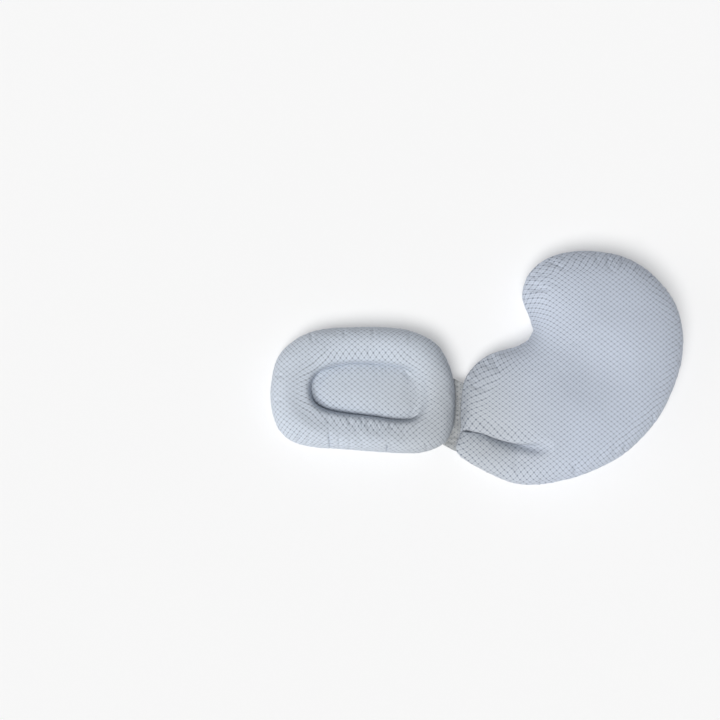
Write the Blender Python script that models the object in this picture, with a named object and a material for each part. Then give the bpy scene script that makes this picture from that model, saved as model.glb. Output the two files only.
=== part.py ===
# Pregnancy pillow lying flat, as in use: a broad bean-shaped head cushion on the right, a small ring-shaped
# belly cushion with a sunken middle on the left, and a narrow cloth band that joins them.
# Metres, +Z up, +X from the belly cushion to the head cushion, origin under the middle of the whole pillow.
import math

import bmesh
import bpy
import numpy as np
from mathutils.geometry import delaunay_2d_cdt

# Heights above the surface that the pillow lies on
HEAD_CROWN = 0.145
HEAD_CROWN_AT_BAND = 0.106
HEAD_SEAM = 0.062
BELLY_CROWN = 0.098
BELLY_PAD_CROWN = 0.058
BAND_SEAM = 0.040
CROWN_RISE_FROM, CROWN_RISE_TO = -0.06, 0.14

# How soft each cushion's shoulders are: the distance from a seam in which the filling comes up
HEAD_SHOULDER = 0.075
BELLY_SHOULDER = 0.040
UNDERSIDE_SHOULDER = 0.050
UNDERSIDE_FULLNESS = 1.30

# The shallow nest that a head leaves in the middle of the head cushion
NEST = {"x": 0.262, "y": -0.004, "depth": 0.020, "reach": 0.075}

# Spacing of the points on the cloth panels
SEAM_STEP = 0.0130
TOP_STEP = 0.0155
UNDERSIDE_STEP = 0.075
TOP_RINGS = (0.0035, 0.010, 0.020)
UNDERSIDE_RINGS = (0.0035, 0.010, 0.020, 0.032, 0.048)
CREASE_ROWS = (0.007, 0.016)
ROW_SPACING = 0.93
FIELD_SPACING = 0.62

# The joining band: doubled cloth, with its ends short of where the two seams part
BAND_THICKNESS = 0.0026
BAND_GAP = 0.0006
BAND_SAG = 0.006
BAND_ROWS = 14
BAND_COLUMNS = 4
BAND_LOW_END = {"belly": (-0.085, -0.185), "head": (-0.049, -0.204)}

SEAM_COLUMNS = ("x", "y", "overhang")
# Sewn edge of the head cushion, anticlockwise from the low end of the band. Where it overhangs, the
# underside's cloth bulges out past the seam by that much, so the seam shows from above.
HEAD_SEAM_ROWS = (
    (-0.049, -0.204, 0.000),
    (0.013, -0.245, 0.001),
    (0.102, -0.278, 0.002),
    (0.217, -0.265, 0.003),
    (0.323, -0.221, 0.003),
    (0.384, -0.172, 0.011),
    (0.442, -0.098, 0.006),
    (0.485, 0.017, 0.003),
    (0.481, 0.120, 0.004),
    (0.439, 0.197, 0.006),
    (0.364, 0.256, 0.003),
    (0.270, 0.276, 0.003),
    (0.181, 0.264, 0.003),
    (0.126, 0.223, 0.002),
    (0.109, 0.166, 0.002),
    (0.131, 0.110, 0.001),
    (0.132, 0.074, 0.001),
    (0.095, 0.048, 0.001),
    (0.025, 0.026, 0.000),
    (-0.025, -0.024, 0.000),
    (-0.038, -0.091, 0.000),
    (-0.040, -0.156, 0.000),
)
# Sewn edge of the belly cushion, clockwise from the end that faces the band
BELLY_SEAM_ROWS = (
    (-0.056, -0.103, 0.000),
    (-0.061, -0.146, 0.000),
    (-0.085, -0.185, 0.001),
    (-0.138, -0.204, 0.002),
    (-0.210, -0.204, 0.002),
    (-0.301, -0.197, 0.002),
    (-0.414, -0.187, 0.002),
    (-0.469, -0.158, 0.002),
    (-0.493, -0.098, 0.002),
    (-0.493, -0.031, 0.002),
    (-0.469, 0.036, 0.002),
    (-0.402, 0.082, 0.002),
    (-0.306, 0.094, 0.002),
    (-0.186, 0.091, 0.002),
    (-0.109, 0.062, 0.001),
    (-0.071, 0.010, 0.000),
    (-0.056, -0.050, 0.000),
)

CREASE_COLUMNS = ("x", "y", "slack")
# The dart in the head cushion, from the band to where it fades. Slack is how far the filling comes up there,
# from 0 where the cloth is held down to 1 on the open panel.
HEAD_DART_ROWS = (
    (-0.030, -0.151, 0.02),
    (0.006, -0.157, 0.04),
    (0.050, -0.173, 0.10),
    (0.092, -0.183, 0.24),
    (0.130, -0.186, 0.48),
)
# The stitched line round the belly cushion's sunken middle
BELLY_STITCH_ROWS = (
    (-0.400, -0.060, 0.06),
    (-0.386, -0.089, 0.03),
    (-0.342, -0.107, 0.02),
    (-0.258, -0.118, 0.02),
    (-0.174, -0.127, 0.04),
    (-0.138, -0.108, 0.12),
    (-0.127, -0.070, 0.18),
    (-0.138, -0.026, 0.14),
    (-0.186, 0.001, 0.06),
    (-0.294, 0.010, 0.04),
    (-0.366, -0.004, 0.04),
    (-0.395, -0.029, 0.05),
)
STITCH_STEP = 0.0115
PAD_EDGE = 0.016

CLOTH_COLOURS = {
    "head_cushion": (0.56, 0.61, 0.70, 1.0),
    "belly_cushion": (0.54, 0.60, 0.68, 1.0),
    "joining_band": (0.44, 0.46, 0.48, 1.0),
}
CLOTH_ROUGHNESS = 0.92


def clear_scene():
    for obj in list(bpy.data.objects):
        bpy.data.objects.remove(obj, do_unlink=True)


def eased(value, low, high):
    """0 below low, 1 above high, and a smooth step between."""
    share = np.clip((value - low) / (high - low), 0, 1)
    return share * share * (3 - 2 * share)


# Curves
def smooth_curve(rows, step, closed):
    """Evenly spaced points on a smooth curve through the rows. Every column is carried along."""
    rows = np.array(rows, float)
    count = len(rows)
    knots = np.arange(count if closed else count - 1)
    dense = []
    for k in knots:
        if closed:
            before, here, after, beyond = (rows[(k + i) % count] for i in (-1, 0, 1, 2))
        else:
            before, here, after, beyond = (rows[min(max(k + i, 0), count - 1)] for i in (-1, 0, 1, 2))
        for t in np.linspace(0, 1, 24, endpoint=False):
            dense.append(
                0.5
                * (
                    2 * here
                    + (after - before) * t
                    + (2 * before - 5 * here + 4 * after - beyond) * t**2
                    + (3 * here - before - 3 * after + beyond) * t**3
                )
            )
    dense.append(rows[0] if closed else rows[-1])
    dense = np.array(dense)
    lengths = np.linalg.norm(np.diff(dense[:, :2], axis=0), axis=1)
    run = np.concatenate([[0], np.cumsum(lengths)])
    at = np.linspace(0, run[-1], round(run[-1] / step) + 1)
    line = np.stack([np.interp(at, run, column) for column in dense.T], axis=1)
    return line[:-1] if closed else line


def outward_normals(loop):
    """Unit normals of a closed loop, away from its inside."""
    along = np.roll(loop, -1, axis=0)[:, :2] - np.roll(loop, 1, axis=0)[:, :2]
    normals = np.stack([along[:, 1], -along[:, 0]], axis=1)
    x, y = loop[:, 0], loop[:, 1]
    area = np.sum(x * np.roll(y, -1) - np.roll(x, -1) * y)
    return np.sign(area) * normals / np.linalg.norm(normals, axis=1)[:, None]


def line_normals(line):
    """Unit normals on the right-hand side of a line."""
    along = np.gradient(line[:, :2], axis=0)
    normals = np.stack([along[:, 1], -along[:, 0]], axis=1)
    return normals / np.linalg.norm(normals, axis=1)[:, None]


def distance_to_loop(points, loop):
    """For each point, its distance to the loop and the nearest of the loop's points."""
    start, run = loop[:, :2], np.roll(loop, -1, axis=0)[:, :2] - loop[:, :2]
    to_point = points[:, None, :2] - start[None]
    share = np.clip(np.sum(to_point * run, axis=2) / np.sum(run * run, axis=1), 0, 1)
    gap = np.linalg.norm(to_point - share[:, :, None] * run, axis=2)
    nearest = np.argmin(np.linalg.norm(to_point, axis=2), axis=1)
    return gap.min(axis=1), nearest


def inside_loop(points, loop):
    """Which points lie inside the loop, by counting the edges that a line to the right crosses."""
    x, y = points[:, 0][:, None], points[:, 1][:, None]
    ax, ay = loop[:, 0], loop[:, 1]
    bx, by = np.roll(ax, -1), np.roll(ay, -1)
    spans = (ay > y) != (by > y)
    rise = np.where(by == ay, 1, by - ay)
    crosses = spans & (x < (bx - ax) * (y - ay) / rise + ax)
    return crosses.sum(axis=1) % 2 == 1


# Cloth panels
def panel_points(seam, creases, rings, step):
    """The seam's points, then the creases', then rows beside them, then an even field of points between."""
    placed = np.concatenate([seam[:, :2]] + [crease[:, :2] for crease in creases])
    rows = []
    for inner, offset in zip((0, *rings), rings):
        rows.append((seam[:, :2] - offset * outward_normals(seam), ROW_SPACING * (offset - inner)))
    for inner, offset in zip((0, *CREASE_ROWS), CREASE_ROWS):
        for crease in creases:
            for side in (offset, -offset):
                row = crease[:, :2] + side * line_normals(crease)
                rows.append((row, ROW_SPACING * (offset - inner)))
    rows.append((even_field(seam, step), FIELD_SPACING * step))
    for row, spacing in rows:
        from_seam, _ = distance_to_loop(row, seam)
        from_placed = np.linalg.norm(row[:, None] - placed[None], axis=2).min(axis=1)
        kept = inside_loop(row, seam) & (np.minimum(from_seam, from_placed) > spacing)
        placed = np.concatenate([placed, row[kept]])
    return placed


def even_field(seam, step):
    """Points in a triangle pattern over the seam's bounding box."""
    low, high = seam[:, :2].min(axis=0), seam[:, :2].max(axis=0)
    row_gap = step * math.sqrt(3) / 2
    field = []
    for j in range(int((high[1] - low[1]) / row_gap) + 1):
        for i in range(int((high[0] - low[0]) / step) + 1):
            field.append((low[0] + step * (i + 0.5 * (j % 2)), low[1] + row_gap * j))
    return np.array(field)


def triangulated(points, seam_count):
    """Triangles over the panel, inside the seam, anticlockwise from above."""
    seam_edges = [(i, (i + 1) % seam_count) for i in range(seam_count)]
    made, _, faces, _, _, _ = delaunay_2d_cdt([tuple(p) for p in points], seam_edges, [], 1, 1e-6)
    if len(made) != len(points):
        raise ValueError("two of the panel's points coincide")
    triangles = np.array([tuple(face) for face in faces])
    a, b, c = (points[triangles[:, k]] for k in range(3))
    area = (b[:, 0] - a[:, 0]) * (c[:, 1] - a[:, 1]) - (c[:, 0] - a[:, 0]) * (b[:, 1] - a[:, 1])
    triangles[area < 0] = triangles[area < 0][:, ::-1]
    return triangles


def filled_share(points, triangles, held, shoulder):
    """How far the filling lifts the cloth at each point, from 0 at a held seam to 1 on an open panel. It is
    a stretched skin under even pressure, which rises over the distance shoulder. held maps a held point's
    index to its share."""
    count = len(points)
    stiffness = np.zeros((count, count))
    weight = np.zeros(count)
    corners = points[triangles]
    edges = np.roll(corners, 1, axis=1) - np.roll(corners, -1, axis=1)
    area = np.abs(edges[:, 2, 0] * edges[:, 1, 1] - edges[:, 2, 1] * edges[:, 1, 0]) / 2
    for i in range(3):
        np.add.at(weight, triangles[:, i], area / 3)
        for j in range(3):
            pull = np.sum(edges[:, i] * edges[:, j], axis=1) / (4 * area)
            np.add.at(stiffness, (triangles[:, i], triangles[:, j]), pull)
    system = shoulder**2 * stiffness + np.diag(weight)
    load = weight.copy()
    for point, share in held.items():
        system[point] = 0
        system[point, point] = 1
        load[point] = share
    return np.clip(np.linalg.solve(system, load), 0, 1)


def cushion(name, seam, seam_height, crown_height, creases, shoulder):
    """One filled cushion, sewn along seam: a crowned top and an underside flattened by what it lies on."""
    seam_count = len(seam)
    top = panel_points(seam, creases, TOP_RINGS, TOP_STEP)
    top_faces = triangulated(top, seam_count)
    held = {i: 0.0 for i in range(seam_count)}
    crease_shares = [share for crease in creases for share in crease[:, 2]]
    held.update({seam_count + i: share for i, share in enumerate(crease_shares)})
    share = filled_share(top, top_faces, held, shoulder)
    seam_z = seam_height(top)
    top_z = seam_z + (crown_height(top) - seam_z) * np.sqrt(share / share.max())

    under = panel_points(seam, [], UNDERSIDE_RINGS, UNDERSIDE_STEP)
    under_faces = triangulated(under, seam_count)
    share = filled_share(under, under_faces, {i: 0.0 for i in range(seam_count)}, UNDERSIDE_SHOULDER)
    drop = np.minimum(1, UNDERSIDE_FULLNESS * np.sqrt(share))
    under_z = seam_height(under) * (1 - np.sin(0.5 * math.pi * drop))
    _, nearest = distance_to_loop(under, seam)
    bulge = (seam[nearest, 2] * np.sin(math.pi * drop))[:, None] * outward_normals(seam)[nearest]
    under = under + bulge

    mesh = bmesh.new()
    top_verts = [mesh.verts.new((x, y, z)) for (x, y), z in zip(top, top_z)]
    under_verts = top_verts[:seam_count] + [
        mesh.verts.new((x, y, z)) for (x, y), z in zip(under[seam_count:], under_z[seam_count:])
    ]
    for a, b, c in top_faces:
        mesh.faces.new((top_verts[a], top_verts[b], top_verts[c]))
    for a, b, c in under_faces:
        mesh.faces.new((under_verts[c], under_verts[b], under_verts[a]))
    return object_from(name, mesh)


# Heights of the two cushions
def head_seam_height(points):
    return BAND_SEAM + (HEAD_SEAM - BAND_SEAM) * eased(points[:, 0], CROWN_RISE_FROM, CROWN_RISE_TO)


def head_crown_height(points):
    rise = eased(points[:, 0], CROWN_RISE_FROM, CROWN_RISE_TO)
    from_nest = np.hypot(points[:, 0] - NEST["x"], points[:, 1] - NEST["y"])
    nest = NEST["depth"] * np.exp(-((from_nest / NEST["reach"]) ** 2))
    return HEAD_CROWN_AT_BAND + (HEAD_CROWN - HEAD_CROWN_AT_BAND) * rise - nest


def belly_seam_height(points):
    return np.full(len(points), BAND_SEAM)


def belly_crown_height(points):
    """High on the ring and low on the sunken middle, changing just inside the stitched line."""
    stitch = belly_stitch_line()
    gap, _ = distance_to_loop(points, stitch)
    depth_inside = np.where(inside_loop(points, stitch), gap, -gap)
    return BELLY_CROWN + (BELLY_PAD_CROWN - BELLY_CROWN) * eased(depth_inside, -PAD_EDGE / 2, PAD_EDGE)


def belly_stitch_line():
    return smooth_curve(BELLY_STITCH_ROWS, STITCH_STEP, closed=True)


# The joining band
def band_edge(seam, low_end):
    """The band's edge beside a seam: the seam's own points from low_end upwards, moved out by the gap."""
    loop = seam[:, :2] + BAND_GAP * outward_normals(seam)
    first = int(np.argmin(np.linalg.norm(loop - np.array(low_end), axis=1)))
    return loop[[(first - k) % len(loop) for k in range(BAND_ROWS)]]


def joining_band(name, belly_seam, head_seam):
    """A narrow doubled strip that hangs slack between the two seams."""
    belly_edge = band_edge(belly_seam, BAND_LOW_END["belly"])
    head_edge = band_edge(head_seam, BAND_LOW_END["head"])
    mesh = bmesh.new()
    layers = []
    for side in (1, -1):
        rows = []
        for start, end in zip(belly_edge, head_edge):
            row = []
            for k in range(BAND_COLUMNS + 1):
                across = k / BAND_COLUMNS
                x, y = start + (end - start) * across
                sag = BAND_SAG * math.sin(math.pi * across)
                row.append(mesh.verts.new((x, y, BAND_SEAM - sag + side * BAND_THICKNESS / 2)))
            rows.append(row)
        layers.append(rows)
    upper, lower = layers
    for j in range(BAND_ROWS - 1):
        for k in range(BAND_COLUMNS):
            mesh.faces.new((upper[j][k], upper[j][k + 1], upper[j + 1][k + 1], upper[j + 1][k]))
            mesh.faces.new((lower[j][k], lower[j + 1][k], lower[j + 1][k + 1], lower[j][k + 1]))
    rim = (
        [(0, k) for k in range(BAND_COLUMNS)]
        + [(j, BAND_COLUMNS) for j in range(BAND_ROWS - 1)]
        + [(BAND_ROWS - 1, k) for k in range(BAND_COLUMNS, 0, -1)]
        + [(j, 0) for j in range(BAND_ROWS - 1, 0, -1)]
    )
    for (j, k), (m, n) in zip(rim, rim[1:] + rim[:1]):
        mesh.faces.new((upper[j][k], lower[j][k], lower[m][n], upper[m][n]))
    bmesh.ops.recalc_face_normals(mesh, faces=mesh.faces)
    return object_from(name, mesh)


# Objects
def cloth_material(name):
    material = bpy.data.materials.new(name + "_cloth")
    material.use_nodes = True
    shader = material.node_tree.nodes["Principled BSDF"]
    shader.inputs["Base Color"].default_value = CLOTH_COLOURS[name]
    shader.inputs["Roughness"].default_value = CLOTH_ROUGHNESS
    shader.inputs["Metallic"].default_value = 0.0
    return material


def object_from(name, mesh):
    data = bpy.data.meshes.new(name)
    mesh.to_mesh(data)
    mesh.free()
    data.shade_smooth()
    data.materials.append(cloth_material(name))
    obj = bpy.data.objects.new(name, data)
    bpy.context.scene.collection.objects.link(obj)
    return obj


def centre_on_origin(objects):
    """Moves the pillow so that the origin is under the middle of its bounding box."""
    corners = np.array([vert.co for obj in objects for vert in obj.data.vertices])
    middle = (corners.min(axis=0) + corners.max(axis=0)) / 2
    for obj in objects:
        obj.location = (-middle[0], -middle[1], -corners[:, 2].min())


def main():
    clear_scene()
    head_seam = smooth_curve(HEAD_SEAM_ROWS, SEAM_STEP, closed=True)
    belly_seam = smooth_curve(BELLY_SEAM_ROWS, SEAM_STEP, closed=True)
    head_dart = smooth_curve(HEAD_DART_ROWS, STITCH_STEP, closed=False)
    pieces = [
        cushion("head_cushion", head_seam, head_seam_height, head_crown_height, [head_dart], HEAD_SHOULDER),
        cushion(
            "belly_cushion",
            belly_seam,
            belly_seam_height,
            belly_crown_height,
            [belly_stitch_line()],
            BELLY_SHOULDER,
        ),
        joining_band("joining_band", belly_seam, head_seam),
    ]
    centre_on_origin(pieces)


main()
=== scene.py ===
import math

import bmesh
import bpy
import numpy as np
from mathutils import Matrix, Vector, kdtree, noise
from mathutils.bvhtree import BVHTree


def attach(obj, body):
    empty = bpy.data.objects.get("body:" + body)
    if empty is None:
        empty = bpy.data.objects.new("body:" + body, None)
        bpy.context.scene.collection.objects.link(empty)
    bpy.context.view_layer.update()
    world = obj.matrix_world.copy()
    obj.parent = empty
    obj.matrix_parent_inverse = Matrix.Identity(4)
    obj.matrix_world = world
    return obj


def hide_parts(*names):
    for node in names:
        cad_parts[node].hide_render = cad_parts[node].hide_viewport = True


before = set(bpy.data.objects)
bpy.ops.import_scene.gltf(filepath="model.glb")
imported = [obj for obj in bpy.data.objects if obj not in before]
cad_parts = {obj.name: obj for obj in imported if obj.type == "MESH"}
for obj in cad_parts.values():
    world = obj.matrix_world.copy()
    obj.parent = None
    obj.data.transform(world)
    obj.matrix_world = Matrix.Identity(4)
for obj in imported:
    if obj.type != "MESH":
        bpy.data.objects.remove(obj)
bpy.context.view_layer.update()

# Where the cloth is cut and sewn, with lengths in metres. +X runs from the belly cushion to the head cushion,
# and the cut lines below are drawn from cutOrigin.
sewing = {
    "cutOrigin": (0.003675, 0.0013065),
    "bandSeamHeight": 0.040,
    "headSeamHeight": 0.062,
    "seamRiseFrom": -0.060,
    "seamRiseTo": 0.140,
    "seamTolerance": 3e-5,
    "creaseTolerance": 4e-4,
    # a fold that is held less than this is only soft, and isn't stitched
    "stitchedFrom": 0.35,
    "mergeDistance": 1e-5,
    "floorTolerance": 4e-4,
    # a point belongs to a seam, a crease or the floor when its share in it is more than this
    "wholeShare": 0.99,
    # curve points between two rows of a cut line, and how far apart the line's even points are: closer where
    # the solid's own edges are sought, and wider where the cloth is shaped
    "curvePoints": 24,
    "edgeSpacing": 0.0004,
    "clothSpacing": 0.0008,
    # cloth lies level where its normal points up or down by more than this share
    "levelCloth": 0.87,
    "unwrapRounds": 12,
    # stands in for the length of no move at all, which can't be divided by
    "leastMove": 1e-9,
}


# Small helpers
def linearColour(hexColour):
    # sRGB hex to the linear numbers that a shader takes
    channels = [int(hexColour[i : i + 2], 16) / 255 for i in (1, 3, 5)]
    return tuple(c / 12.92 if c <= 0.04045 else ((c + 0.055) / 1.055) ** 2.4 for c in channels) + (1.0,)


def addNode(tree, kind, settings=None, inputs=None):
    # one node with its settings; an input is a fixed value or another node's output
    node = tree.nodes.new(kind)
    for name, value in (settings or {}).items():
        setattr(node, name, value)
    for key, value in (inputs or {}).items():
        if isinstance(value, bpy.types.NodeSocket):
            tree.links.new(value, node.inputs[key])
        else:
            node.inputs[key].default_value = value
    return node


def eased(value, low, high):
    share = np.clip((value - low) / (high - low), 0, 1)
    return share * share * (3 - 2 * share)


def readPoints(mesh):
    points = np.empty(len(mesh.vertices) * 3, np.float64)
    mesh.vertices.foreach_get("co", points)
    return points.reshape(-1, 3)


def readNormals(mesh):
    normals = np.empty(len(mesh.vertices) * 3, np.float64)
    mesh.vertices.foreach_get("normal", normals)
    return normals.reshape(-1, 3)


def writePoints(mesh, points):
    mesh.vertices.foreach_set("co", points.astype(np.float32).ravel())
    mesh.update()


def applyModifiers(obj):
    graph = bpy.context.evaluated_depsgraph_get()
    settled = obj.evaluated_get(graph)
    mesh = bpy.data.meshes.new_from_object(settled, preserve_all_data_layers=True, depsgraph=graph)
    obj.modifiers.clear()
    old = obj.data
    obj.data = mesh
    mesh.name = obj.name
    bpy.data.meshes.remove(old)


def refine(obj, levels):
    subdivision = obj.modifiers.new("refine", "SUBSURF")
    subdivision.levels = levels
    subdivision.render_levels = levels
    subdivision.uv_smooth = "PRESERVE_BOUNDARIES"
    applyModifiers(obj)


def halveFaces(obj, chosen):
    # splits every edge between two chosen points, for folds finer than the rest of the cloth
    shape = bmesh.new()
    shape.from_mesh(obj.data)
    shape.verts.ensure_lookup_table()
    edges = [edge for edge in shape.edges if chosen[edge.verts[0].index] and chosen[edge.verts[1].index]]
    bmesh.ops.subdivide_edges(shape, edges=edges, cuts=1, use_grid_fill=True)
    for face in shape.faces:
        face.smooth = True
    shape.to_mesh(obj.data)
    shape.free()
    obj.data.update()


def groupShares(obj, name):
    # each point's share in a vertex group
    index = obj.vertex_groups[name].index
    shares = np.zeros(len(obj.data.vertices))
    for i, vertex in enumerate(obj.data.vertices):
        for entry in vertex.groups:
            if entry.group == index:
                shares[i] = entry.weight
    return shares


def smoothLine(rows, closed, step):
    # evenly spaced points on a smooth curve through the cut line's rows
    rows = np.array(rows, float) + np.array(sewing["cutOrigin"])
    count = len(rows)
    dense = []
    for k in range(count if closed else count - 1):
        picks = [(k + i) % count if closed else min(max(k + i, 0), count - 1) for i in (-1, 0, 1, 2)]
        before, here, after, beyond = rows[picks]
        bend = 2 * before - 5 * here + 4 * after - beyond
        twist = 3 * here - before - 3 * after + beyond
        for t in np.linspace(0, 1, sewing["curvePoints"], endpoint=False):
            dense.append(0.5 * (2 * here + (after - before) * t + bend * t**2 + twist * t**3))
    dense.append(rows[0] if closed else rows[-1])
    dense = np.array(dense)
    run = np.concatenate([[0], np.cumsum(np.linalg.norm(np.diff(dense, axis=0), axis=1))])
    at = np.linspace(0, run[-1], round(run[-1] / step) + 1)
    line = np.stack([np.interp(at, run, column) for column in dense.T], axis=1)
    return line[:-1] if closed else line


def nearestOnLine(points, line):
    # distance in plan from each point to a line's points, and the index of the nearest
    tree = kdtree.KDTree(len(line))
    for i, (x, y) in enumerate(line):
        tree.insert((x, y, 0), i)
    tree.balance()
    found = [tree.find((x, y, 0)) for x, y in points[:, :2]]
    return np.array([f[2] for f in found]), np.array([f[1] for f in found])


# Cloth panels of the two cushions
def seamHeight(x):
    rise = eased(x - sewing["cutOrigin"][0], sewing["seamRiseFrom"], sewing["seamRiseTo"])
    return sewing["bandSeamHeight"] + (sewing["headSeamHeight"] - sewing["bandSeamHeight"]) * rise


def foldLine(fold, closed, step):
    # points along the held line, with how hard it is held and how deep its trough is at each of them
    rows = np.array(fold["rows"])
    line = smoothLine(rows[:, :2], closed, step)
    _, at = nearestOnLine(rows[:, :2] + np.array(sewing["cutOrigin"]), line)
    places = np.arange(len(line))
    period = len(line) if closed else None
    held, hollowed = (np.interp(places, at, column, period=period) for column in rows.T[2:])
    return line, held, hollowed


def cushionFromSolid(name, node, seamHeightAt, fold, closed):
    # a merged copy of the solid, with the sewn edge between its two panels marked as a seam, and the fold as
    # sharp as it is held
    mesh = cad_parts[node].data.copy()
    mesh.materials.clear()
    shape = bmesh.new()
    shape.from_mesh(mesh)
    bmesh.ops.remove_doubles(shape, verts=shape.verts, dist=sewing["mergeDistance"])
    shape.verts.ensure_lookup_table()
    points = np.array([v.co for v in shape.verts])
    line, held, _ = foldLine(fold, closed, sewing["edgeSpacing"])
    fromCrease, nearest = nearestOnLine(points, line)
    held = held[nearest]
    underside = points[:, 2] < seamHeightAt(points[:, 0]) - sewing["seamTolerance"]
    onSeam = np.abs(points[:, 2] - seamHeightAt(points[:, 0])) < sewing["seamTolerance"]
    onCrease = (fromCrease < sewing["creaseTolerance"]) & ~underside & ~onSeam
    onFloor = points[:, 2] < sewing["floorTolerance"]
    sharpness = shape.edges.layers.float.new("crease_edge")
    for edge in shape.edges:
        a, b = edge.verts[0].index, edge.verts[1].index
        edge.seam = bool(onSeam[a] and onSeam[b])
        edge[sharpness] = 1.0 if edge.seam else min(held[a], held[b]) if onCrease[a] and onCrease[b] else 0.0
    for face in shape.faces:
        face.smooth = True
    shape.to_mesh(mesh)
    shape.free()
    obj = bpy.data.objects.new(name, mesh)
    mesh.name = name
    bpy.context.scene.collection.objects.link(obj)
    stitched = onCrease & (held > sewing["stitchedFrom"])
    for groupName, chosen in (("seam", onSeam), ("crease", stitched), ("floor", onFloor)):
        group = obj.vertex_groups.new(name=groupName)
        group.add([int(i) for i in np.flatnonzero(chosen)], 1.0, "REPLACE")
    print(name, "seam points", onSeam.sum(), "crease points", onCrease.sum(), "on the floor", onFloor.sum())
    return obj


def layPanelsFlat(obj):
    # unwraps the two panels, so that one metre of cloth is one unit of the UV map. Where the cloth lies level
    # it keeps its place in plan and the print runs straight, and the steep sides are laid out round that.
    mesh = obj.data
    points, normals = readPoints(mesh), readNormals(mesh)
    level = np.abs(normals[:, 2]) > sewing["levelCloth"]
    uvLayer = mesh.uv_layers.new(name="cloth")
    for loop in mesh.loops:
        uvLayer.data[loop.index].uv = points[loop.vertex_index][:2]
        uvLayer.pin[loop.index].value = bool(level[loop.vertex_index])
    bpy.ops.object.select_all(action="DESELECT")
    bpy.context.view_layer.objects.active = obj
    obj.select_set(True)
    bpy.ops.object.mode_set(mode="EDIT")
    bpy.ops.mesh.select_all(action="SELECT")
    bpy.ops.uv.unwrap(method="MINIMUM_STRETCH", iterations=sewing["unwrapRounds"], margin=0)
    bpy.ops.object.mode_set(mode="OBJECT")
    print(obj.name, "panels laid flat, level share", round(float(level.mean()), 2))


def plumpUp(obj, settings):
    # blows the sewn cover up from inside: the seam, the crease and the resting face stay, and the cloth
    # between is a little longer than they are, so that it gathers beside them
    start = readPoints(obj.data)
    shares = [groupShares(obj, name) for name in ("seam", "crease", "floor")]
    pinned = np.maximum.reduce(shares) > sewing["wholeShare"]
    pins = obj.vertex_groups.new(name="pins")
    pins.add([int(i) for i in np.flatnonzero(pinned)], 1.0, "REPLACE")
    modifier = obj.modifiers.new("cover", "CLOTH")
    cloth = modifier.settings
    cloth.quality = settings["quality"]
    cloth.mass = settings["pointMass"]
    cloth.tension_stiffness = settings["stretch"]
    cloth.compression_stiffness = settings["stretch"]
    cloth.shear_stiffness = settings["shear"]
    cloth.bending_stiffness = settings["bending"]
    cloth.air_damping = settings["airDamping"]
    cloth.use_pressure = True
    cloth.uniform_pressure_force = settings["pressure"]
    cloth.shrink_min = -settings["ease"]
    cloth.vertex_group_mass = "pins"
    cloth.effector_weights.gravity = 0.0
    modifier.collision_settings.use_collision = False
    modifier.collision_settings.use_self_collision = False
    for frameNumber in range(1, settings["frames"] + 1):
        bpy.context.scene.frame_set(frameNumber)
    graph = bpy.context.evaluated_depsgraph_get()
    settled = obj.evaluated_get(graph).to_mesh()
    moved = readPoints(settled) - start
    obj.evaluated_get(graph).to_mesh_clear()
    obj.modifiers.clear()
    obj.vertex_groups.remove(obj.vertex_groups["pins"])
    length = np.linalg.norm(moved, axis=1)
    print(obj.name, "swells by up to", round(float(length.max()) * 1000, 1), "mm")
    # the further a point has moved, the more it is held back, so that none moves beyond the cap
    cap = settings["moveCap"]
    share = cap * np.tanh(length / cap) / np.maximum(length, sewing["leastMove"])
    points = start + moved * share[:, None]
    points[:, 2] = np.maximum(points[:, 2], 0)
    writePoints(obj.data, points)
    bpy.context.scene.frame_set(1)


# How the covers of both cushions are shaped once they are filled, with lengths in metres
shaping = {
    # how far from the height of the seam the upper panel is taken to begin
    "upperMargin": 0.002,
    # the cloth is finer beside the seams and the fold, and over each pucker: from a little before its start,
    # and this many of its widths to both sides. Close to the floor it isn't.
    "fineBySeam": 0.010,
    "fineByFold": 0.034,
    "fineBeforePucker": 0.018,
    "finePuckerWidths": 2.4,
    "fineAboveFloor": 0.004,
    # the lumps of the filling show more and more over these heights and this way from the seam
    "lumpsOverFloor": (0.002, 0.02),
    "lumpsFromSeam": 0.03,
    "lumpsStart": (7.3, 1.9, 4.1),
    # a pucker opens over this length, and fades from this share of its own length on
    "puckerOpens": 0.007,
    "puckerFades": 0.3,
    # how many seam widths the swell beside a seam is wide
    "swellWidths": 3.5,
}


def bump(value, middle, width):
    return np.exp(-(((value - middle) / width) ** 2))


def foldInto(points, upper, closed, fold):
    # draws the cloth on both sides in to a held line. The lip on one side rises and leans over the line, and
    # the cloth on the other side sinks into a trough under it.
    line, held, hollowed = foldLine(fold, closed, sewing["clothSpacing"])
    distance, nearest = nearestOnLine(points, line)
    strength = np.where(upper, held[nearest], 0)
    hollow = np.where(upper, hollowed[nearest], 0)
    toLine = line[nearest] - points[:, :2]
    along = np.roll(line, -1, axis=0) - np.roll(line, 1, axis=0)
    if not closed:
        along[0], along[-1] = along[1], along[-2]
    along /= np.linalg.norm(along, axis=1)[:, None]
    left = np.stack([-along[:, 1], along[:, 0]], axis=1)[nearest]
    side = -(toLine * left).sum(axis=1) * fold["lipSide"]
    pull = fold["pull"] * bump(distance, 0, fold["reach"]) * strength
    lean = fold["lean"] * bump(side, fold["lipAt"], fold["lipWidth"]) * strength
    points[:, :2] += toLine * pull[:, None] - left * (fold["lipSide"] * lean)[:, None]
    near = bump(np.maximum(distance - np.abs(side), 0), 0, fold["reach"])
    points[:, 2] -= fold["press"] * bump(distance, 0, fold["pressWidth"]) * strength
    points[:, 2] -= fold["trough"] * bump(side, -fold["troughAt"], fold["troughWidth"]) * hollow * near
    points[:, 2] += fold["rise"] * bump(side, fold["lipAt"], fold["lipWidth"]) * strength * near


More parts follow.
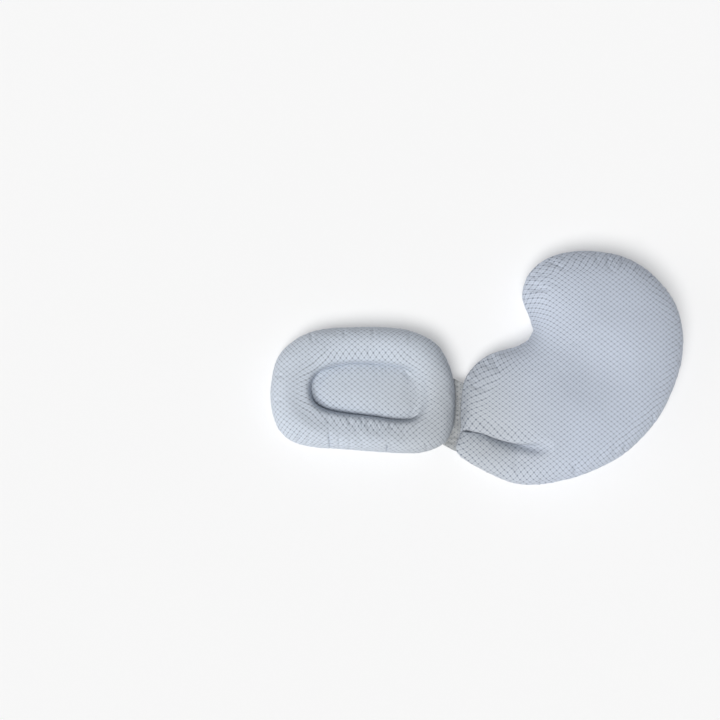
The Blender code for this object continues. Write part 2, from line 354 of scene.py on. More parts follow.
def puckerPlace(points, x, y, heading):
    # how far along and across a pucker each point lies
    heading = math.radians(heading)
    offset = points[:, :2] - np.array(sewing["cutOrigin"]) - np.array((x, y))
    along = offset[:, 0] * math.cos(heading) + offset[:, 1] * math.sin(heading)
    return along, offset[:, 1] * math.cos(heading) - offset[:, 0] * math.sin(heading)


def pucker(points, normals, upper, puckers):
    # short valleys in the cloth, each with a low ridge on both sides, running in from the seam
    for x, y, heading, length, width, depth in puckers:
        along, across = puckerPlace(points, x, y, heading)
        across = across / width
        opened = eased(along, 0, shaping["puckerOpens"])
        window = opened * (1 - eased(along, shaping["puckerFades"] * length, length))
        amount = depth * (1 - across**2) * np.exp(-(across**2)) * window * upper
        points -= normals * amount[:, None]


def fillingLumps(points, normals, loose, lumps):
    # the loose fibre inside never lies quite even
    start = Vector(shaping["lumpsStart"])
    for size, height in lumps:
        bumps = np.array([noise.noise(Vector(p) / size + start) for p in points])
        points += normals * (height * bumps * loose)[:, None]


def relaxLooseFold(mesh, points, upper, closed, fold):
    # where the fold isn't held, the filling evens the cloth out into one soft slope
    line, held, _ = foldLine(fold, closed, sewing["clothSpacing"])
    distance, nearest = nearestOnLine(points, line)
    loose = 1 - eased(held[nearest], 0, sewing["stitchedFrom"])
    share = np.where(upper, loose * bump(distance, 0, fold["looseReach"]), 0)[:, None]
    ends = np.empty(len(mesh.edges) * 2, np.int32)
    mesh.edges.foreach_get("vertices", ends)
    first, second = ends.reshape(-1, 2).T
    neighbours = np.bincount(ends, minlength=len(points))[:, None]
    for _ in range(fold["looseRounds"]):
        around = np.zeros_like(points)
        np.add.at(around, first, points[second])
        np.add.at(around, second, points[first])
        points += share * (around / neighbours - points)


def awayFromSeam(obj, points):
    onSeam = groupShares(obj, "seam") > sewing["wholeShare"]
    tree = kdtree.KDTree(int(onSeam.sum()))
    for i, place in enumerate(points[onSeam]):
        tree.insert(place, i)
    tree.balance()
    return np.array([tree.find(p)[2] for p in points])


def rollOverSeam(points, normals, away, settings):
    # the seam stays where it is sewn, and the cloth beside it swells over it and gathers in small ripples
    width = settings["seamWidth"]
    reach = shaping["swellWidths"] * width
    swell = settings["seamDepth"] * (1 - bump(away, 0, width)) * bump(away, 0, reach)
    gathers = np.array([noise.noise(Vector(p) / settings["gatherSize"]) for p in points])
    ripple = settings["gatherHeight"] * gathers * bump(away, settings["gatherAt"], settings["gatherWidth"])
    points += normals * (swell + ripple)[:, None]


def sculpt(obj, seamHeightAt, settings, closed):
    points = readPoints(obj.data)
    fold, margin = settings["fold"], shaping["upperMargin"]
    upper = points[:, 2] > seamHeightAt(points[:, 0]) + margin
    relaxLooseFold(obj.data, points, upper, closed, fold)
    writePoints(obj.data, points)
    line = smoothLine(np.array(fold["rows"])[:, :2], closed, sewing["clothSpacing"])
    fromFold, _ = nearestOnLine(points, line)
    fine = (awayFromSeam(obj, points) < shaping["fineBySeam"]) | (fromFold < shaping["fineByFold"])
    for x, y, heading, length, width, _ in settings["puckers"]:
        along, across = puckerPlace(points, x, y, heading)
        beside = np.abs(across) < shaping["finePuckerWidths"] * width
        fine |= beside & (along > -shaping["fineBeforePucker"]) & (along < length)
    halveFaces(obj, fine & (points[:, 2] > shaping["fineAboveFloor"]))
    points, normals = readPoints(obj.data), readNormals(obj.data)
    upper = points[:, 2] > seamHeightAt(points[:, 0]) - margin
    away = awayFromSeam(obj, points)
    loose = eased(points[:, 2], *shaping["lumpsOverFloor"]) * eased(away, 0, shaping["lumpsFromSeam"])
    fillingLumps(points, normals, loose, settings["lumps"])
    foldInto(points, upper, closed, fold)
    pucker(points, normals, upper, settings["puckers"])
    rollOverSeam(points, normals, away, settings)
    points[:, 2] = np.maximum(points[:, 2], 0)
    writePoints(obj.data, points)


# Head cushion
headSettings = {
    "fold": {
        # the dart: x, y, how hard it is held, how deep the trough under it
        "rows": [
            (-0.030, -0.151, 1.0, 0.35),
            (0.006, -0.157, 1.0, 0.5),
            (0.050, -0.173, 1.0, 1.2),
            (0.092, -0.183, 0.9, 1.6),
            (0.130, -0.187, 0.3, 1.2),
            (0.170, -0.186, 0.0, 0.0),
        ],
        "pull": 0.66,
        "reach": 0.020,
        "lipSide": 1,
        "lean": 0.007,
        "rise": 0.004,
        "lipAt": 0.015,
        "lipWidth": 0.012,
        "press": 0.006,
        "pressWidth": 0.004,
        "trough": 0.014,
        "troughAt": 0.005,
        "troughWidth": 0.014,
        "looseReach": 0.012,
        "looseRounds": 6,
    },
    # x, y, heading in degrees, length, width, depth
    "puckers": [
        (0.385, 0.243, 215, 0.030, 0.0040, 0.0045),
        (0.420, 0.219, 200, 0.026, 0.0036, 0.0050),
        (0.452, 0.197, 204, 0.018, 0.0034, 0.0030),
        (0.462, 0.184, 203, 0.022, 0.0036, 0.0060),
        (0.345, 0.262, 240, 0.050, 0.0060, 0.0022),
        (0.310, 0.273, 255, 0.055, 0.0070, 0.0020),
        (0.280, 0.279, 265, 0.050, 0.0070, 0.0016),
        (0.482, 0.110, 178, 0.022, 0.0050, 0.0024),
        (0.484, 0.050, 176, 0.020, 0.0050, 0.0016),
        (0.420, -0.135, 135, 0.022, 0.0050, 0.0024),
        (0.350, -0.207, 118, 0.024, 0.0050, 0.0020),
        (0.060, -0.262, 65, 0.026, 0.0060, 0.0020),
        (0.150, -0.285, 92, 0.024, 0.0060, 0.0016),
        (-0.036, -0.150, 352, 0.026, 0.0050, 0.0060),
        (0.428, -0.122, 232, 0.100, 0.0030, 0.0034),
    ],
    "lumps": [(0.085, 0.0022), (0.030, 0.0006)],
    "seamDepth": 0.0026,
    "seamWidth": 0.0026,
    "gatherSize": 0.011,
    "gatherHeight": 0.0011,
    "gatherAt": 0.008,
    "gatherWidth": 0.008,
    "quality": 5,
    "pointMass": 0.2,
    "stretch": 18.0,
    "shear": 6.0,
    "bending": 0.6,
    "airDamping": 3.0,
    "pressure": 5.0,
    "ease": 0.018,
    "frames": 18,
    "moveCap": 0.009,
    "levels": 2,
    "fill": 0.7,
}


def headCushion():
    obj = cushionFromSolid("headCushion", "head_cushion", seamHeight, headSettings["fold"], closed=False)
    layPanelsFlat(obj)
    refine(obj, headSettings["levels"])
    plumpUp(obj, headSettings)
    sculpt(obj, seamHeight, headSettings, closed=False)
    return obj


# Belly cushion
bellySettings = {
    "fold": {
        # the stitched line round the sunken middle: x, y, how hard it is held, how deep the trough inside it
        "rows": [
            (-0.400, -0.060, 1.0, 0.8),
            (-0.386, -0.089, 1.0, 0.8),
            (-0.342, -0.107, 1.0, 1.0),
            (-0.258, -0.118, 1.0, 1.0),
            (-0.174, -0.127, 0.8, 0.8),
            (-0.138, -0.108, 0.2, 0.6),
            (-0.127, -0.070, 0.0, 0.5),
            (-0.138, -0.026, 0.1, 0.4),
            (-0.186, 0.001, 0.6, 0.6),
            (-0.294, 0.010, 0.8, 0.6),
            (-0.366, -0.004, 0.9, 0.6),
            (-0.395, -0.029, 1.0, 0.7),
        ],
        "pull": 0.52,
        "reach": 0.020,
        "lipSide": -1,
        "lean": 0.003,
        "rise": 0.003,
        "lipAt": 0.015,
        "lipWidth": 0.012,
        "press": 0.003,
        "pressWidth": 0.004,
        "trough": 0.0045,
        "troughAt": 0.008,
        "troughWidth": 0.012,
        "looseReach": 0.030,
        "looseRounds": 60,
    },
    # x, y, heading in degrees, length, width, depth
    "puckers": [
        (-0.352, -0.196, 93, 0.060, 0.0050, 0.0042),
        (-0.217, -0.205, 93, 0.026, 0.0036, 0.0065),
        (-0.436, -0.184, 58, 0.060, 0.0060, 0.0028),
        (-0.455, -0.170, 48, 0.055, 0.0060, 0.0026),
        (-0.410, -0.190, 70, 0.050, 0.0055, 0.0020),
        (-0.330, -0.198, 92, 0.052, 0.0055, 0.0022),
        (-0.305, -0.199, 90, 0.046, 0.0055, 0.0018),
        (-0.120, -0.200, 110, 0.026, 0.0050, 0.0024),
        (-0.488, -0.080, 0, 0.030, 0.0060, 0.0020),
        (-0.486, -0.020, -6, 0.030, 0.0060, 0.0018),
        (-0.400, 0.082, 280, 0.034, 0.0060, 0.0022),
        (-0.320, 0.092, 272, 0.030, 0.0055, 0.0020),
        (-0.250, 0.094, 268, 0.034, 0.0060, 0.0022),
        (-0.160, 0.080, 250, 0.030, 0.0060, 0.0018),
        (-0.308, -0.140, 84, 0.034, 0.0060, 0.0030),
        (-0.262, -0.146, 96, 0.034, 0.0070, 0.0024),
        (-0.212, -0.150, 82, 0.032, 0.0060, 0.0030),
        (-0.360, -0.136, 72, 0.036, 0.0070, 0.0024),
    ],
    "lumps": [(0.060, 0.0018), (0.024, 0.0006)],
    "seamDepth": 0.0024,
    "seamWidth": 0.0026,
    "gatherSize": 0.010,
    "gatherHeight": 0.0011,
    "gatherAt": 0.008,
    "gatherWidth": 0.008,
    "quality": 5,
    "pointMass": 0.2,
    "stretch": 18.0,
    "shear": 6.0,
    "bending": 0.6,
    "airDamping": 3.0,
    "pressure": 5.0,
    "ease": 0.018,
    "frames": 18,
    "moveCap": 0.008,
    "levels": 2,
    # the row of stitches in the crease follows every fifth point of its line
    "stitchPathStep": 5,
    "fill": 0.65,
}


def bellySeamHeight(x):
    return np.full_like(x, sewing["bandSeamHeight"])


def bellyCushion():
    fold = bellySettings["fold"]
    obj = cushionFromSolid("bellyCushion", "belly_cushion", bellySeamHeight, fold, closed=True)
    layPanelsFlat(obj)
    refine(obj, bellySettings["levels"])
    plumpUp(obj, bellySettings)
    sculpt(obj, bellySeamHeight, bellySettings, closed=True)
    return obj


# Joining band
bandSettings = {
    "flat": (0.024, 0.180),
    # where the band is thickest with folds, at the corner of the dart
    "cornerAt": -0.150,
    "cornerReach": 0.012,
    "cornerRise": 0.0035,
    "creaseSize": (0.030, 0.007, 0.030),
    "creaseHeight": 0.0026,
    "heldEdge": 0.004,
    # the cushions' weight draws the band down beside its sewn edges
    "edgeSag": 0.0035,
    "edgeSagWidth": 0.003,
    "stitchInset": 0.0045,
    "levels": 3,
    # where the band's two sides are read: from how far inside its ends, at how many places, and over what
    # length at each of them
    "endInset": 0.002,
    "placeCount": 60,
    "placeReach": 0.006,
}


def bandSides(points):
    # the places along the band, and its left and right edge at each of them
    y = points[:, 1]
    inset = bandSettings["endInset"]
    at = np.linspace(y.min() + inset, y.max() - inset, bandSettings["placeCount"])
    near = [np.abs(y - place) < bandSettings["placeReach"] for place in at]
    left = np.array([points[chosen, 0].min() for chosen in near])
    right = np.array([points[chosen, 0].max() for chosen in near])
    return at, left, right


def joiningBand():
    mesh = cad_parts["joining_band"].data.copy()
    mesh.materials.clear()
    shape = bmesh.new()
    shape.from_mesh(mesh)
    bmesh.ops.remove_doubles(shape, verts=shape.verts, dist=sewing["mergeDistance"])
    for face in shape.faces:
        face.smooth = True
    shape.to_mesh(mesh)
    shape.free()
    mesh.name = "joiningBand"
    obj = bpy.data.objects.new("joiningBand", mesh)
    bpy.context.scene.collection.objects.link(obj)
    refine(obj, bandSettings["levels"])
    points = readPoints(obj.data)
    uvLayer = obj.data.uv_layers.new(name="cloth")
    for loop in obj.data.loops:
        uvLayer.data[loop.index].uv = points[loop.vertex_index][:2]
    # cross creases where the two cushions push the band together, none at its sewn edges
    at, left, right = bandSides(points)
    toEdge = np.minimum(
        points[:, 0] - np.interp(points[:, 1], at, left), np.interp(points[:, 1], at, right) - points[:, 0]
    )
    free = eased(toEdge, 0, bandSettings["heldEdge"])
    size = np.array(bandSettings["creaseSize"])
    creases = np.array([noise.noise(Vector(p / size)) for p in points])
    cornerAt = bandSettings["cornerAt"] + sewing["cutOrigin"][1]
    corner = bump(points[:, 1], cornerAt, bandSettings["cornerReach"])
    points[:, 2] += free * (bandSettings["creaseHeight"] * creases + bandSettings["cornerRise"] * corner)
    sagWidth = bandSettings["edgeSagWidth"]
    points[:, 2] -= bandSettings["edgeSag"] * bump(toEdge, sagWidth, sagWidth)
    writePoints(obj.data, points)
    return obj


# Sewing thread
stitchSettings = {
    "stitchLength": 0.0034,
    "stitchPitch": 0.0046,
    "threadThickness": 0.0007,
    "bow": 0.0005,
    "turnSeed": 7,
    # the ply shows as a fine twill, drawn coarser than its real 0.2 mm
    "ply": 0.0008,
    "plyHeight": 0.00008,
    "plyStrength": 0.6,
    "darkest": "#A9B1BC",
    "lightest": "#CDD4DE",
    "roughness": 0.55,
    "sheen": 0.1,
    # parts along a stitch's bow and round its thread, and how far it may turn from its row, in radians
    "bowParts": 4,
    "roundParts": 5,
    "turn": 0.09,
}


def threadMaterial():
    # Spun polyester sewing thread: fine, slightly shiny, and dyed to the cloth
    material = bpy.data.materials.new("polyesterThread")
    material.use_nodes = True
    tree = material.node_tree
    tree.nodes.clear()
    place = addNode(tree, "ShaderNodeTexCoord").outputs["Object"]
    fibres = {"Vector": place, "Scale": 1 / stitchSettings["ply"], "Detail": 2.0}
    twist = addNode(tree, "ShaderNodeTexNoise", None, fibres)
    dark, light = linearColour(stitchSettings["darkest"]), linearColour(stitchSettings["lightest"])
    shade = addNode(
        tree, "ShaderNodeMix", {"data_type": "RGBA"}, {0: twist.outputs[0], 6: dark, 7: light}
    )
    ply = addNode(
        tree,
        "ShaderNodeBump",
        None,
        {
            "Height": twist.outputs[0],
            "Distance": stitchSettings["plyHeight"],
            "Strength": stitchSettings["plyStrength"],
        },
    )
    shader = addNode(
        tree,
        "ShaderNodeBsdfPrincipled",
        None,
        {
            "Base Color": shade.outputs[2],
            "Roughness": stitchSettings["roughness"],
            "Sheen Weight": stitchSettings["sheen"],
            "Normal": ply.outputs[0],
        },
    )
    addNode(tree, "ShaderNodeOutputMaterial", None, {"Surface": shader.outputs[0]})
    return material


def stitchTree():
    # lays short bowed stitches end to end along every line of the mesh that it is given
    tree = bpy.data.node_groups.new("stitchRow", "GeometryNodeTree")
    sockets = {}
    tree.interface.new_socket("Geometry", in_out="INPUT", socket_type="NodeSocketGeometry")
    for name, kind in (
        ("stitchLength", "NodeSocketFloat"),
        ("stitchPitch", "NodeSocketFloat"),
        ("threadThickness", "NodeSocketFloat"),
        ("bow", "NodeSocketFloat"),
        ("turnSeed", "NodeSocketInt"),
        ("thread", "NodeSocketMaterial"),
    ):
        sockets[name] = tree.interface.new_socket(name, in_out="INPUT", socket_type=kind).identifier
    tree.interface.new_socket("Geometry", in_out="OUTPUT", socket_type="NodeSocketGeometry")
    given = addNode(tree, "NodeGroupInput").outputs
    lines = addNode(tree, "GeometryNodeMeshToCurve", None, {"Mesh": given["Geometry"]})
    spaced = addNode(
        tree,
        "GeometryNodeResampleCurve",
        {"mode": "LENGTH"},
        {"Curve": lines.outputs[0], "Length": given["stitchPitch"]},
    )
    # one stitch: a bowed thread with its ends drawn into the cloth
    half = addNode(tree, "ShaderNodeMath", {"operation": "MULTIPLY"}, {0: given["stitchLength"], 1: 0.5})
    back = addNode(tree, "ShaderNodeMath", {"operation": "MULTIPLY"}, {0: half.outputs[0], 1: -1.0})
    dip = addNode(tree, "ShaderNodeMath", {"operation": "MULTIPLY"}, {0: given["bow"], 1: -1.0})
    lift = addNode(tree, "ShaderNodeMath", {"operation": "MULTIPLY"}, {0: given["bow"], 1: 2.0})
    first = addNode(tree, "ShaderNodeCombineXYZ", None, {0: back.outputs[0], 2: dip.outputs[0]})
    top = addNode(tree, "ShaderNodeCombineXYZ", None, {2: lift.outputs[0]})
    last = addNode(tree, "ShaderNodeCombineXYZ", None, {0: half.outputs[0], 2: dip.outputs[0]})
    bowed = addNode(
        tree,
        "GeometryNodeCurveQuadraticBezier",
        None,
        {
            "Resolution": stitchSettings["bowParts"],
            "Start": first.outputs[0],
            "Middle": top.outputs[0],
            "End": last.outputs[0],
        },
    )
    radius = addNode(tree, "ShaderNodeMath", {"operation": "MULTIPLY"}, {0: given["threadThickness"], 1: 0.5})
    ring = addNode(
        tree,
        "GeometryNodeCurvePrimitiveCircle",
        None,
        {"Resolution": stitchSettings["roundParts"], "Radius": radius.outputs[0]},
    )
    stitch = addNode(
        tree,
        "GeometryNodeCurveToMesh",
        None,
        {"Curve": bowed.outputs[0], "Profile Curve": ring.outputs[0], "Fill Caps": True},
    )
    heading = addNode(tree, "GeometryNodeInputTangent")
    along = addNode(
        tree,
        "FunctionNodeAlignRotationToVector",
        {"axis": "X", "pivot_axis": "Z"},
        {"Vector": heading.outputs[0]},
    )
    furthest = stitchSettings["turn"]
    turn = addNode(
        tree,
        "FunctionNodeRandomValue",
        {"data_type": "FLOAT_VECTOR"},
        {0: (0.0, 0.0, -furthest), 1: (0.0, 0.0, furthest), "Seed": given["turnSeed"]},
    )
    turned = addNode(
        tree,
        "FunctionNodeRotateRotation",
        {"rotation_space": "LOCAL"},
        {"Rotation": along.outputs[0], "Rotate By": turn.outputs[0]},
    )
    laid = addNode(
        tree,
        "GeometryNodeInstanceOnPoints",
        None,
        {"Points": spaced.outputs[0], "Instance": stitch.outputs[0], "Rotation": turned.outputs[0]},
    )
    real = addNode(tree, "GeometryNodeRealizeInstances", None, {"Geometry": laid.outputs[0]})
    dyed = addNode(
        tree, "GeometryNodeSetMaterial", None, {"Geometry": real.outputs[0], "Material": given["thread"]}
    )
    addNode(tree, "NodeGroupOutput", None, {0: dyed.outputs[0]})
    return tree, sockets


def stitchesAlong(name, rows, thread):
    # rows: lists of points on the cloth
    mesh = bpy.data.meshes.new(name)
    places, edges = [], []
    for row in rows:
        first = len(places)
        places += [tuple(p) for p in row]
        edges += [(first + i, first + i + 1) for i in range(len(row) - 1)]
    mesh.from_pydata(places, edges, [])
    obj = bpy.data.objects.new(name, mesh)
    bpy.context.scene.collection.objects.link(obj)
    tree, sockets = stitchTree()
    modifier = obj.modifiers.new("stitches", "NODES")
    modifier.node_group = tree
    for key, identifier in sockets.items():
        modifier[identifier] = thread if key == "thread" else stitchSettings[key]
    applyModifiers(obj)
    print(name, "faces", len(obj.data.polygons))
    return obj


def padStitches(cushion, thread):
    # down in the crease round the sunken middle, where the two panels are sewn to each other
    points = readPoints(cushion.data)[groupShares(cushion, "crease") > sewing["wholeShare"]]
    line, held, _ = foldLine(bellySettings["fold"], True, sewing["clothSpacing"])
    # the row starts and ends where the fold is held least
    first = int(held.argmin())
    line, held = np.roll(line, -first, axis=0), np.roll(held, -first)
    _, place = nearestOnLine(points, line)
    order = np.argsort(place)
    at = np.flatnonzero(held > sewing["stitchedFrom"])[:: bellySettings["stitchPathStep"]]
    path = np.stack([np.interp(at, place[order], points[order, k]) for k in range(3)], axis=1)
    path[:, 2] += stitchSettings["threadThickness"]
    return stitchesAlong("padStitches", [path], thread)


def bandStitches(band, thread):
    # one row inside each sewn edge of the band
    points = readPoints(band.data)
    at, left, right = bandSides(points)
    surface = BVHTree.FromObject(band, bpy.context.evaluated_depsgraph_get())
    rows = []
    for edge, inward in ((left, 1), (right, -1)):
        row = []
        for x, y in zip(edge + inward * bandSettings["stitchInset"], at):
            place, _, _, _ = surface.ray_cast(Vector((x, y, 1)), Vector((0, 0, -1)))
            if place:
                row.append(place + Vector((0, 0, stitchSettings["bow"])))
        rows.append(row)
    return stitchesAlong("bandStitches", rows, thread)


# Cloth
clothPrint = {
    "diamondWide": 0.0145,
    "diamondTall": 0.0115,
    # how far each mark reaches from its middle, and how full its ink is. The real marks are about half as
    # full, and are drawn fuller so that they show.
    "crossingDot": (0.00155, 0.8),
    "edgeDot": (0.00100, 0.5),
    "middleDot": (0.00060, 0.5),
    "hairline": (0.00045, 0.2),
    # each mark fades out between these shares of its reach
    "bleed": (0.75, 1.3),
    # the size of the patches that take less ink, the noise that they come from, and the ink taken there
    "unevenness": 0.035,
    "unevenNoise": (0.3, 0.7),
    "inkTaken": (0.8, 1.0),
    "thread": 0.0011,
    "threadHeight": 0.00006,
    "threadStrength": 0.6,
    "creasing": 0.012,
    "creasingHeight": 0.0006,
    "creasingStrength": 0.5,
    "bareRoughness": 0.92,
    "inkedRoughness": 0.80,
    "sheen": 0.08,
    "sheenRoughness": 0.5,
    "specular": 0.25,
    # painted shade round the band: its middle, how near it stays full and how far out it fades, and how much
    # it greys the cloth
    "paintedShadeAt": (-0.03, -0.16, 0.05),
    "paintedShadeReach": (0.05, 0.30),
    "paintedShadeShare": 0.9,
}


def printedLattice(tree, cloth):
    # the share of ink at each place of the cloth: hairlines on two diagonals, a dot where they cross, and
    # smaller ones halfway along them and in the middle of each diamond
    wide, tall = clothPrint["diamondWide"], clothPrint["diamondTall"]
    pitch = wide * tall / math.hypot(wide, tall)
    toLine, toHalfway = [], []
    for lean in (1, -1):
        across = (lean / wide, 1 / tall, 0)
        count = addNode(tree, "ShaderNodeVectorMath", {"operation": "DOT_PRODUCT"}, {0: cloth, 1: across})
        turns = count.outputs["Value"]
        folded = addNode(tree, "ShaderNodeMath", {"operation": "PINGPONG"}, {0: turns, 1: 0.5})
        near = addNode(tree, "ShaderNodeMath", {"operation": "MULTIPLY"}, {0: folded.outputs[0], 1: pitch})
        far = addNode(tree, "ShaderNodeMath", {"operation": "SUBTRACT"}, {0: pitch / 2, 1: near.outputs[0]})
        toLine.append(near.outputs[0])
        toHalfway.append(far.outputs[0])
    marks = [(toLine[0], "hairline"), (toLine[1], "hairline")]
    for across, along, dot in (
        (toLine[0], toLine[1], "crossingDot"),
        (toLine[0], toHalfway[1], "edgeDot"),
        (toHalfway[0], toLine[1], "edgeDot"),
        (toHalfway[0], toHalfway[1], "middleDot"),
    ):
        corner = addNode(tree, "ShaderNodeCombineXYZ", None, {0: across, 1: along})
        reach = addNode(tree, "ShaderNodeVectorMath", {"operation": "LENGTH"}, {0: corner.outputs[0]})
        marks.append((reach.outputs["Value"], dot))
    inked = 0.0
    full, gone = clothPrint["bleed"]
    for distance, mark in marks:
        size, fullness = clothPrint[mark]
        # the edge of each mark bleeds a little into the cloth
        ink = addNode(
            tree,
            "ShaderNodeMapRange",
            {"interpolation_type": "SMOOTHSTEP"},
            {0: distance, 1: full * size, 2: gone * size, 3: fullness, 4: 0.0},
        )
        darker = addNode(tree, "ShaderNodeMath", {"operation": "MAXIMUM"}, {0: ink.outputs[0], 1: inked})
        inked = darker.outputs[0]
    return inked


def printedCotton(name, ground, shadedGround, ink):
    # Printed cotton percale: a plain weave that is soft, matt and faintly bright at a glancing angle. A small
    # lattice of dots and hairlines is printed on it, so the ink follows the cloth as it is cut and filled.
    material = bpy.data.materials.new(name)
    material.use_nodes = True
    tree = material.node_tree
    tree.nodes.clear()
    cloth = addNode(tree, "ShaderNodeUVMap", {"uv_map": "cloth"}).outputs[0]
    # the ink takes unevenly
    patches = {"Vector": cloth, "Scale": 1 / clothPrint["unevenness"], "Detail": 3.0}
    uneven = addNode(tree, "ShaderNodeTexNoise", None, patches)
    low, high = clothPrint["unevenNoise"]
    least, most = clothPrint["inkTaken"]
    taken = addNode(
        tree, "ShaderNodeMapRange", None, {0: uneven.outputs[0], 1: low, 2: high, 3: least, 4: most}
    )
    lattice = printedLattice(tree, cloth)
    printed = addNode(tree, "ShaderNodeMath", {"operation": "MULTIPLY"}, {0: lattice, 1: taken.outputs[0]})
    inked = printed.outputs[0]
    # painted shade: the cloth round the band is drawn a little greyer, for the shade that falls on the middle
    # of the pillow
    place = addNode(tree, "ShaderNodeTexCoord").outputs["Object"]
    reach = addNode(
        tree, "ShaderNodeVectorMath", {"operation": "DISTANCE"}, {0: place, 1: clothPrint["paintedShadeAt"]}
    )
    near, far = clothPrint["paintedShadeReach"]
    shadeMask = addNode(
        tree,
        "ShaderNodeMapRange",
        {"interpolation_type": "SMOOTHSTEP"},
        {0: reach.outputs["Value"], 1: near, 2: far, 3: clothPrint["paintedShadeShare"], 4: 0.0},
    )
    bare = addNode(
        tree,
        "ShaderNodeMix",
        {"data_type": "RGBA"},
        {0: shadeMask.outputs[0], 6: linearColour(ground), 7: linearColour(shadedGround)},
    )
    colour = addNode(
        tree, "ShaderNodeMix", {"data_type": "RGBA"}, {0: inked, 6: bare.outputs[2], 7: linearColour(ink)}
    )
    # plain weave, drawn coarser than the real 0.3 mm thread so that it shows from arm's length
    threads = []
    for direction in ((1, 0, 0), (0, 1, 0)):
        turns = [2 * math.pi * share / clothPrint["thread"] for share in direction]
        count = addNode(tree, "ShaderNodeVectorMath", {"operation": "DOT_PRODUCT"}, {0: cloth, 1: turns})
        wave = addNode(tree, "ShaderNodeMath", {"operation": "SINE"}, {0: count.outputs["Value"]})
        threads.append(wave.outputs[0])
    crossed = addNode(tree, "ShaderNodeMath", {"operation": "MULTIPLY"}, {0: threads[0], 1: threads[1]})
    weave = addNode(
        tree,
        "ShaderNodeBump",
        None,
        {
            "Height": crossed.outputs[0],
            "Distance": clothPrint["threadHeight"],
            "Strength": clothPrint["threadStrength"],
        },
    )
    crumples = {"Vector": cloth, "Scale": 1 / clothPrint["creasing"], "Detail": 4.0}
    creasing = addNode(tree, "ShaderNodeTexNoise", None, crumples)
    soft = addNode(
        tree,
        "ShaderNodeBump",
        None,
        {
            "Height": creasing.outputs[0],
            "Distance": clothPrint["creasingHeight"],
            "Strength": clothPrint["creasingStrength"],
            "Normal": weave.outputs[0],
        },
    )
    # the printed places are a little smoother than the bare thread
    bareRough, inkedRough = clothPrint["bareRoughness"], clothPrint["inkedRoughness"]
    roughness = addNode(
        tree, "ShaderNodeMapRange", None, {0: inked, 1: 0.0, 2: 1.0, 3: bareRough, 4: inkedRough}
    )
    shader = addNode(
        tree,
        "ShaderNodeBsdfPrincipled",
        None,
        {
            "Base Color": colour.outputs[2],
            "Roughness": roughness.outputs[0],
            "Sheen Weight": clothPrint["sheen"],
            "Sheen Roughness": clothPrint["sheenRoughness"],
            "Specular IOR Level": clothPrint["specular"],
            "Normal": soft.outputs[0],
        },
    )
    addNode(tree, "ShaderNodeOutputMaterial", None, {"Surface": shader.outputs[0]})
    return material


# the ground, the ground drawn greyer round the band as painted shade, and the ink
clothColours = {
    "headCotton": ("#CAD2E0", "#BCC1C7", "#445064"),
    "bellyCotton": ("#D0D8E3", "#BFC4CA", "#445060"),
    # painted shade: the band's ground is drawn darker and greyer than the cushions' cloth, for the shade of
    # the two cushions that swell in beside it
    "bandCotton": ("#B2B4B5", "#ACAEAF", "#5D646B"),
}


# Floor, light and camera
studio = {
    "aim": (-0.2783, 0.0181, 0.05),
    "distance": 3.0,
    "tilt": 2.0,
    "viewWidth": 1.728,
    "sensorWidth": 36.0,
    "floorHalf": 60.0,
    "floorColour": "#D6D6D6",
    "floorGlow": 0.3,
    # the surroundings are pale up to the first height over the horizon, and darker from the second one on
    "horizonTo": 0.06,
    "overheadFrom": 0.30,
    "horizonStrength": 0.9,
    "overheadStrength": 0.17,
    # where each soft light comes from, how wide it looks in degrees, and its power
    "lights": {
        "overheadLight": ((-1.7, -2.4, 6.0), 34.0, 2.45),
        "leftLight": ((-5.0, -1.0, 3.2), 36.0, 0.25),
    },
}


def plainFloor():
    mesh = bpy.data.meshes.new("floor")
    half = studio["floorHalf"]
    corners = [(-half, -half, 0), (half, -half, 0), (half, half, 0), (-half, half, 0)]
    mesh.from_pydata(corners, [], [(0, 1, 2, 3)])
    floor = bpy.data.objects.new("floor", mesh)
    bpy.context.scene.collection.objects.link(floor)
    paint = bpy.data.materials.new("studioFloor")
    paint.use_nodes = True
    shader = paint.node_tree.nodes["Principled BSDF"]
    shader.inputs["Base Color"].default_value = linearColour(studio["floorColour"])
    shader.inputs["Roughness"].default_value = 1.0
    shader.inputs["Emission Color"].default_value = linearColour("#FFFFFF")
    shader.inputs["Emission Strength"].default_value = studio["floorGlow"]
    mesh.materials.append(paint)


def softLight(name, place, width, power):
    light = bpy.data.lights.new(name, "SUN")
    light.angle = math.radians(width)
    light.energy = power
    obj = bpy.data.objects.new(name, light)
    obj.location = place
    obj.rotation_euler = (-Vector(place)).to_track_quat("-Z", "Y").to_euler()
    bpy.context.scene.collection.objects.link(obj)


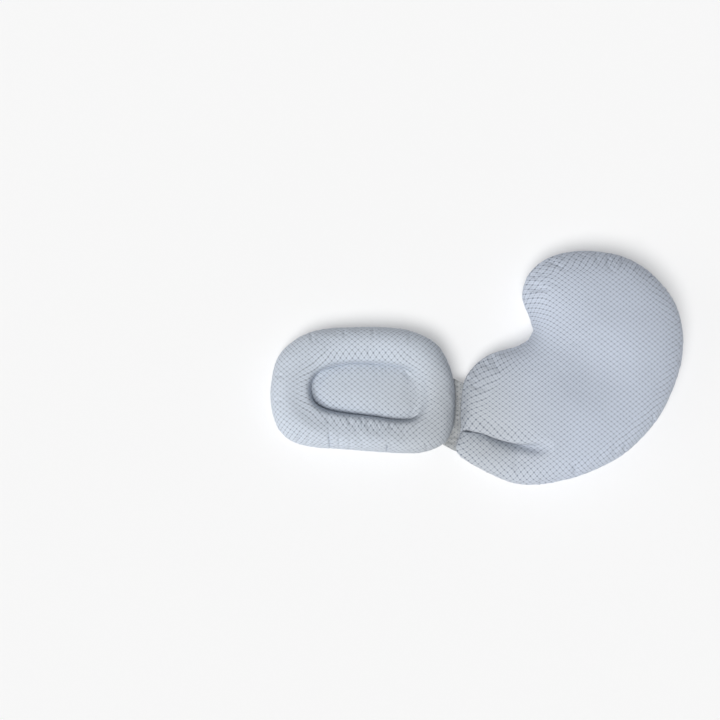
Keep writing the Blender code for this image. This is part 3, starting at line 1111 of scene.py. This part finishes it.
def overheadCamera():
    tilt = math.radians(studio["tilt"])
    camera = bpy.data.cameras.new("camera")
    camera.sensor_width = studio["sensorWidth"]
    camera.lens = camera.sensor_width * studio["distance"] / studio["viewWidth"]
    obj = bpy.data.objects.new("camera", camera)
    aim = Vector(studio["aim"])
    obj.location = aim + studio["distance"] * Vector((0, -math.sin(tilt), math.cos(tilt)))
    obj.rotation_euler = (tilt, 0, 0)
    bpy.context.scene.collection.objects.link(obj)
    bpy.context.scene.camera = obj


def studioLight():
    world = bpy.data.worlds.new("studio")
    world.use_nodes = True
    tree = world.node_tree
    tree.nodes.clear()
    direction = addNode(tree, "ShaderNodeTexCoord").outputs["Generated"]
    height = addNode(tree, "ShaderNodeSeparateXYZ", None, {0: direction}).outputs[2]
    strength = addNode(
        tree,
        "ShaderNodeMapRange",
        None,
        {
            0: height,
            1: studio["horizonTo"],
            2: studio["overheadFrom"],
            3: studio["horizonStrength"],
            4: studio["overheadStrength"],
        },
    )
    white = linearColour("#FFFFFF")
    sky = addNode(tree, "ShaderNodeBackground", None, {"Color": white, "Strength": strength.outputs[0]})
    addNode(tree, "ShaderNodeOutputWorld", None, {"Surface": sky.outputs[0]})
    bpy.context.scene.world = world
    for name, (place, width, power) in studio["lights"].items():
        softLight(name, place, width, power)
    bpy.context.scene.view_settings.view_transform = "Standard"


plainFloor()
studioLight()
overheadCamera()
print("floor, lights and camera are in place")

head = headCushion()
belly = bellyCushion()
band = joiningBand()
for obj, node, slotName, cotton in (
    (head, "head_cushion", "head_cloth", "headCotton"),
    (belly, "belly_cushion", "belly_cloth", "bellyCotton"),
    (band, "joining_band", "band_cloth", "bandCotton"),
):
    obj.data.materials.append(printedCotton(cotton, *clothColours[cotton]))
    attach(obj, "root")
    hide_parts(node)
    print(obj.name, "triangles", sum(len(p.vertices) - 2 for p in obj.data.polygons))

thread = threadMaterial()
padThread = padStitches(belly, thread)
bandThread = bandStitches(band, thread)
for obj, slotName in ((padThread, "belly_cloth"), (bandThread, "band_cloth")):
    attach(obj, "root")
